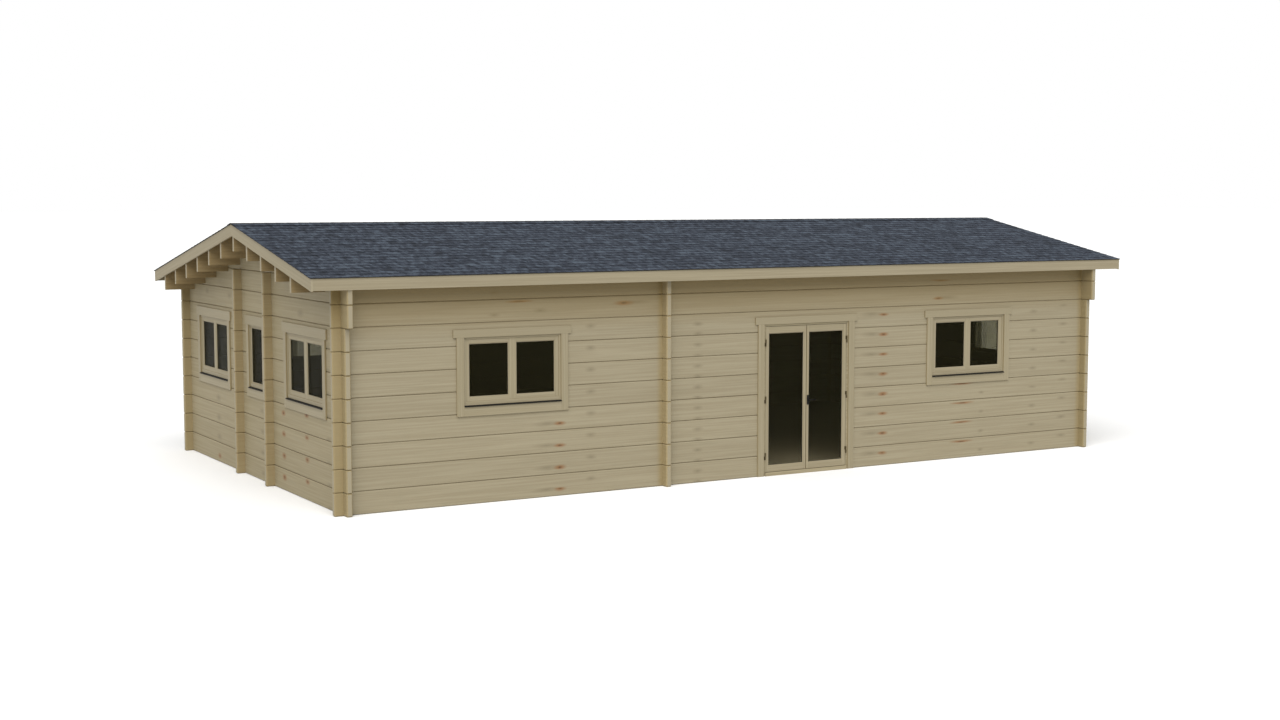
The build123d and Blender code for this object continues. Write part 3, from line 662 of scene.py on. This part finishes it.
cap_low, cap_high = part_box("ridge_shingles")
cap_plumb = cap_layer / math.cos(pitch)
cap_place = (0.0, ridge_y, cap_high.z - cap_plumb - cap_sink)
caps = grow(cap_tree(), "ridge_cap_strips", length=cap_high.x - cap_low.x, width=cap_width, layer=cap_plumb,
            sheet=cap_sheet, slope=math.tan(pitch), place=cap_place, material=felt)
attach(caps, "cabin")
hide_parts("ridge_shingles")


# Joinery, drawn in a frame of its own: X along the wall, Y inwards, Z up
class Joinery:
    """A mesh of separate members with eased edges and a map along and across their fibres."""

    count = 0

    def __init__(self):
        self.mesh = bmesh.new()
        self.grain = self.mesh.loops.layers.uv.new("grain")

    def face(self, corners, place, fibre, narrow=False):
        """A face through corners, mapped along its fibres; narrow sides lie in the map's second half."""
        made = self.mesh.faces.new([self.mesh.verts.new(place @ Vector(c)) for c in corners])
        normal = (Vector(corners[1]) - Vector(corners[0])).cross(Vector(corners[2]) - Vector(corners[0]))
        sides = [axis for axis in range(3) if axis != fibre]
        across = min(sides, key=lambda axis: abs(normal[axis]))
        along_shift = 0.37 * Joinery.count
        across_shift = map_pitch * Joinery.count + 0.5 + (map_pitch / 2 if narrow else 0.0)
        for loop, corner in zip(made.loops, corners):
            loop[self.grain].uv = (corner[fibre] + along_shift, corner[across] % 1.0 + across_shift)

    def member(self, low, high, fibre, place, ease=0.002):
        """One member between two corners, its edges eased, its fibres along an axis."""
        Joinery.count += 1
        middle = (Vector(low) + Vector(high)) / 2
        half = (Vector(high) - Vector(low)) / 2
        ease = min(ease, min(half) * 0.6)

        def corner(signs, full):
            return tuple(middle[a] + signs[a] * (half[a] - (0 if a == full else ease)) for a in range(3))

        for axis in range(3):
            a, b = (axis + 1) % 3, (axis + 2) % 3
            for s in (-1, 1):
                ring = []
                for sa, sb in ((-1, -1), (1, -1), (1, 1), (-1, 1)):
                    signs = [0, 0, 0]
                    signs[axis], signs[a], signs[b] = s, sa, sb
                    ring.append(corner(signs, axis))
                self.face(ring if s > 0 else ring[::-1], place, fibre, narrow=axis != 1)
            for sa in (-1, 1):
                for sb in (-1, 1):
                    low_signs, high_signs = [0, 0, 0], [0, 0, 0]
                    low_signs[axis], low_signs[a], low_signs[b] = -1, sa, sb
                    high_signs[axis], high_signs[a], high_signs[b] = 1, sa, sb
                    quad = [corner(low_signs, a), corner(high_signs, a),
                            corner(high_signs, b), corner(low_signs, b)]
                    self.face(quad if sa * sb < 0 else quad[::-1], place, fibre)
        for sx in (-1, 1):
            for sy in (-1, 1):
                for sz in (-1, 1):
                    tri = [corner((sx, sy, sz), axis) for axis in range(3)]
                    self.face(tri if sx * sy * sz > 0 else tri[::-1], place, fibre)

    def ring(self, x0, x1, z0, z1, profile, place):
        """A mitred strip round the inside of an opening; the profile is pairs of reach inwards and depth."""
        for side in range(4):
            Joinery.count += 1
            fibre = 0 if side % 2 == 0 else 2
            ends = [(x0, z0, 1, 1), (x1, z0, -1, 1), (x1, z1, -1, -1), (x0, z1, 1, -1)]
            start, end = ends[side], ends[(side + 1) % 4]
            lines = [[(x + sx * reach, depth, z + sz * reach) for x, z, sx, sz in (start, end)]
                     for reach, depth in profile]
            for one, two in zip(lines, lines[1:] + lines[:1]):
                self.face([one[0], one[1], two[1], two[0]], place, fibre)

    def finish(self, name, finish, body, slot, *replaced):
        """Closes the mesh and gives it to a body."""
        bmesh.ops.remove_doubles(self.mesh, verts=self.mesh.verts, dist=0.00001)
        bmesh.ops.recalc_face_normals(self.mesh, faces=self.mesh.faces)
        data = bpy.data.meshes.new(name)
        self.mesh.to_mesh(data)
        self.mesh.free()
        data.materials.append(finish)
        made = bpy.data.objects.new(name, data)
        bpy.context.scene.collection.objects.link(made)
        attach(made, body)
        if replaced:
            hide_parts(*replaced)


def turned(x, y, degrees):
    """A place on a wall, turned so that Y points inwards."""
    return Matrix.Translation((x, y, 0)) @ Matrix.Rotation(math.radians(degrees), 4, "Z")


# Each window's place, the width in view and its number of sashes; the gable's log ends bound the middle bay
side_bay = (wall_depth - middle_bay) / 2
long_wall_places = [left_x + share * wall_length for share in long_wall_shares]
right_wall_places = [front_y + share * wall_depth for share in right_wall_shares]
windows = {
    "front": [(turned(x, front_y, 0), double_view_width, 2) for x in long_wall_places],
    "back": [(turned(x, back_y, 180), double_view_width, 2) for x in long_wall_places],
    "left": [(turned(left_x, y, -90), width, count) for y, width, count in (
        (front_y + side_bay / 2, double_view_width, 2), (back_y - side_bay / 2, double_view_width, 2),
        ((front_y + back_y) / 2, single_view_width, 1))],
    "right": [(turned(right_x, y, 90), double_view_width, 2) for y in right_wall_places],
}


def frame_members(piece, x0, x1, y0, y1, z0, z1, widths, place):
    """Two stiles the full height with rails between them; the widths are left, right, bottom and top."""
    left, right, bottom, top = widths
    piece.member((x0, y0, z0), (x0 + left, y1, z1), 2, place)
    piece.member((x1 - right, y0, z0), (x1, y1, z1), 2, place)
    piece.member((x0 + left, y0, z0), (x1 - right, y1, z0 + bottom), 0, place)
    piece.member((x0 + left, y0, z1 - top), (x1 - right, y1, z1), 0, place)


def glazed_frame(piece, strips, x0, x1, z0, z1, front, thickness, widths, place):
    """A sash or leaf with sloped glazing beads on both sides of its pane, and rubber strips beside the glass.

    The beads and strips take the inner part of the members' widths.
    """
    back = front + thickness
    wood_widths = [width - bead_width for width in widths]
    frame_members(piece, x0, x1, front, back, z0, z1, wood_widths, place)
    left, right, bottom, top = wood_widths
    hole = (x0 + left, x1 - right, z0 + bottom, z1 - top)
    pane_front = front + glass_setback
    pane_back = pane_front + glass_thickness
    bead_foot = bead_width - strip_width
    outer, inner = pane_front - strip_width, pane_back + strip_width
    for near, far in ((front + bead_setback, outer), (back - bead_setback, inner)):
        piece.ring(*hole, [(0.0, near), (bead_face, near), (bead_foot, far), (0.0, far)], place)
    for near, far in ((outer, pane_front), (inner, pane_back)):
        strips.ring(*hole, [(0.0, near), (bead_width, near), (bead_width, far), (0.0, far)], place)


def casing_members(piece, view_width, low_z, head_width, place):
    """Side boards under a head board with ears."""
    half = view_width / 2
    outer = half + casing_width
    piece.member((-outer, -casing_thickness, low_z), (-half, 0, head_height), 2, place)
    piece.member((half, -casing_thickness, low_z), (outer, 0, head_height), 2, place)
    piece.member((-outer - casing_ear, -casing_thickness, head_height),
                 (outer + casing_ear, 0, head_height + head_width), 0, place)


window_top = head_height + frame_lap
head_widths = {
    "front": casing_width, "back": casing_width, "left": gable_head_width, "right": gable_head_width}
for side, places in windows.items():
    frames, sashes, casings, strips = Joinery(), Joinery(), Joinery(), Joinery()
    for place, view_width, sash_count in places:
        half = view_width / 2 + frame_lap
        frame_members(frames, -half, half, 0, log_thickness, sill_height, window_top,
                      [frame_width] * 4, place)
        inner = half - frame_width
        stile = fixed_light_stile if sash_count == 1 else sash_stile
        z0, z1 = sill_height + frame_width, window_top - frame_width
        for number in range(sash_count):
            x0 = -inner + number * 2 * inner / sash_count
            x1 = x0 + 2 * inner / sash_count
            glazed_frame(sashes, strips, x0, x1, z0, z1, sash_setback, sash_thickness, [stile] * 4, place)
        low_z = sill_height - apron_height
        casing_members(casings, view_width, low_z, head_widths[side], place)
        casings.member((-view_width / 2, -casing_thickness, low_z),
                       (view_width / 2, 0, sill_height - sill_thickness), 0, place)
    frames.finish(side + "_window_frame_members", joinery, "cabin", "joinery_wood", side + "_window_frames")
    sashes.finish(side + "_window_sash_members", joinery, "cabin", "joinery_wood", side + "_window_sashes")
    casings.finish(side + "_window_casing_boards", joinery, "cabin", "trim_wood", side + "_window_casings")
    strips.finish(side + "_window_glazing_strips", rubber, "cabin", "black_metal")

# Door casing and leaves
at_door = turned(door_x, front_y, 0)
casings = Joinery()
casing_members(casings, door_view_width, 0.0, casing_width, at_door)
casings.finish("door_casing_boards", joinery, "cabin", "trim_wood", "door_casing")
frame_inner_half = door_view_width / 2 + frame_lap - frame_width
leaf_low = threshold_height + leaf_gap
leaf_high = head_height + frame_lap - frame_width - leaf_gap
for name, sign in (("left", -1), ("right", 1)):
    leaf, strips = Joinery(), Joinery()
    x0, x1 = sorted((sign * meeting_gap / 2, sign * (frame_inner_half - leaf_gap)))
    stiles = [leaf_stile, meeting_stile][::-sign]
    glazed_frame(leaf, strips, x0, x1, leaf_low, leaf_high, 0.0, leaf_thickness,
                 [*stiles, leaf_bottom_rail, leaf_top_rail], at_door)
    leaf.finish(name + "_door_leaf_members", joinery, name + "_leaf", "joinery_wood", name + "_door_leaf")
    strips.finish(name + "_door_glazing_strips", rubber, name + "_leaf", "black_metal")


# Boards of the floor and the roof, cut from their slabs
def cut_boards(name, node_name, axis, finish):
    """Separate boards with real joints between them, side by side along an axis."""
    slab = bmesh.new()
    slab.from_mesh(nodes[node_name].data)
    bmesh.ops.remove_doubles(slab, verts=slab.verts, dist=0.00001)
    low, high = (corner[axis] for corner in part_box(node_name))
    boards = bmesh.new()
    for number in range(math.floor(low / board_pitch), math.ceil(high / board_pitch)):
        board = slab.copy()
        first, last = number * board_pitch + board_joint / 2, (number + 1) * board_pitch - board_joint / 2
        for place, side in ((first, -1), (last, 1)):
            point, outwards = Vector((0, 0, 0)), Vector((0, 0, 0))
            point[axis], outwards[axis] = place, side
            cut = bmesh.ops.bisect_plane(board, geom=board.verts[:] + board.edges[:] + board.faces[:],
                                         plane_co=point, plane_no=outwards, clear_outer=True)
            rim = [item for item in cut["geom_cut"] if isinstance(item, bmesh.types.BMEdge)]
            bmesh.ops.holes_fill(board, edges=rim)
        part = bpy.data.meshes.new("board")
        board.to_mesh(part)
        board.free()
        boards.from_mesh(part)
        bpy.data.meshes.remove(part)
    slab.free()
    bmesh.ops.recalc_face_normals(boards, faces=boards.faces)
    data = bpy.data.meshes.new(name)
    boards.to_mesh(data)
    boards.free()
    data.materials.append(finish)
    for face in data.polygons:
        face.material_index = 0
        face.use_smooth = False
    made = bpy.data.objects.new(name, data)
    bpy.context.scene.collection.objects.link(made)
    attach(made, "cabin")
    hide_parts(node_name)


cut_boards("floor_planks", "floor_boards", 1, floor_board_wood)
cut_boards("front_roof_planks", "front_roof_deck", 0, roof_board_wood)
cut_boards("back_roof_planks", "back_roof_deck", 0, roof_board_wood)

# Finishes of the solids that stay
finishes = {
    "front_wall_left": front_logs, "front_wall_right": front_logs, "front_wall_over_door": front_logs,
    "back_wall": back_logs, "left_gable_wall": left_logs, "right_gable_wall": right_logs,
    "left_gable_log_ends": side_cross_logs, "long_wall_log_ends": long_cross_logs, "purlins": beams,
    "floor_bearers": bearers,
    "front_barge_boards": front_barge_wood, "back_barge_boards": back_barge_wood, "eaves_boards": eaves_wood,
    "window_sills": coat, "door_threshold": threshold_wood, "door_frame": threshold_wood,
    "door_frame_hinges": steel, "left_leaf_hinges": steel, "right_leaf_hinges": steel, "door_handles": coat,
    "window_glass": window_glass, "left_door_glass": door_glass, "right_door_glass": door_glass,
}
for node_name, finish in finishes.items():
    data = nodes[node_name].data
    data.materials.clear()
    data.materials.append(finish)


# Floor, sky, sun and camera
def seen_by_eye(tree):
    """One for rays from the camera, straight or by way of metal and glass, and zero for the others."""
    path = add(tree, "ShaderNodeLightPath").outputs
    seen = add(tree, "ShaderNodeMath", {
        0: path["Is Camera Ray"], 1: path["Is Glossy Ray"]}, operation="MAXIMUM")
    return add(tree, "ShaderNodeMath", {0: seen, 1: path["Is Transmission Ray"]}, operation="MAXIMUM")


floor, tree, shader = material("pale_studio_floor", Roughness=0.9, Specular_IOR_Level=0.0)
dress(tree, shader, add(tree, "ShaderNodeMix", {
    0: seen_by_eye(tree), 6: colour("#D8D8D6"), 7: colour("#FFFFFF")}, data_type="RGBA"))
data = bpy.data.meshes.new("studio_floor")
corners = [(x * floor_reach, y * floor_reach, floor_z) for x, y in ((-1, -1), (1, -1), (1, 1), (-1, 1))]
data.from_pydata(corners, [], [(0, 1, 2, 3)])
data.materials.append(floor)
ground = bpy.data.objects.new("studio_floor", data)
bpy.context.scene.collection.objects.link(ground)

world = bpy.data.worlds.new("studio_sky")
bpy.context.scene.world = world
world.use_nodes = True
tree = world.node_tree
tree.nodes.clear()
lit = add(tree, "ShaderNodeBackground", {"Color": colour("#F4F4F2"), "Strength": sky_strength})
white = add(tree, "ShaderNodeBackground", {"Color": (1, 1, 1, 1), "Strength": 1.0})
both = add(tree, "ShaderNodeMixShader", {0: seen_by_eye(tree), 1: lit, 2: white})
add(tree, "ShaderNodeOutputWorld", {"Surface": both})

sun = bpy.data.lights.new("soft_sun", "SUN")
sun.energy = sun_strength
sun.angle = sun_spread
lamp = bpy.data.objects.new("soft_sun", sun)
lamp.rotation_euler = Vector(sun_direction).to_track_quat("-Z", "Y").to_euler()
bpy.context.scene.collection.objects.link(lamp)

camera = bpy.data.cameras.new("camera")
camera.lens = focal_length
camera.sensor_width = 36.0
camera.clip_end = 2000.0
eye = bpy.data.objects.new("camera", camera)
eye.location = camera_place
eye.rotation_euler = (math.pi / 2 - camera_dip, 0.0, camera_turn)
bpy.context.scene.collection.objects.link(eye)
bpy.context.scene.camera = eye
bpy.context.scene.view_settings.view_transform = "Standard"
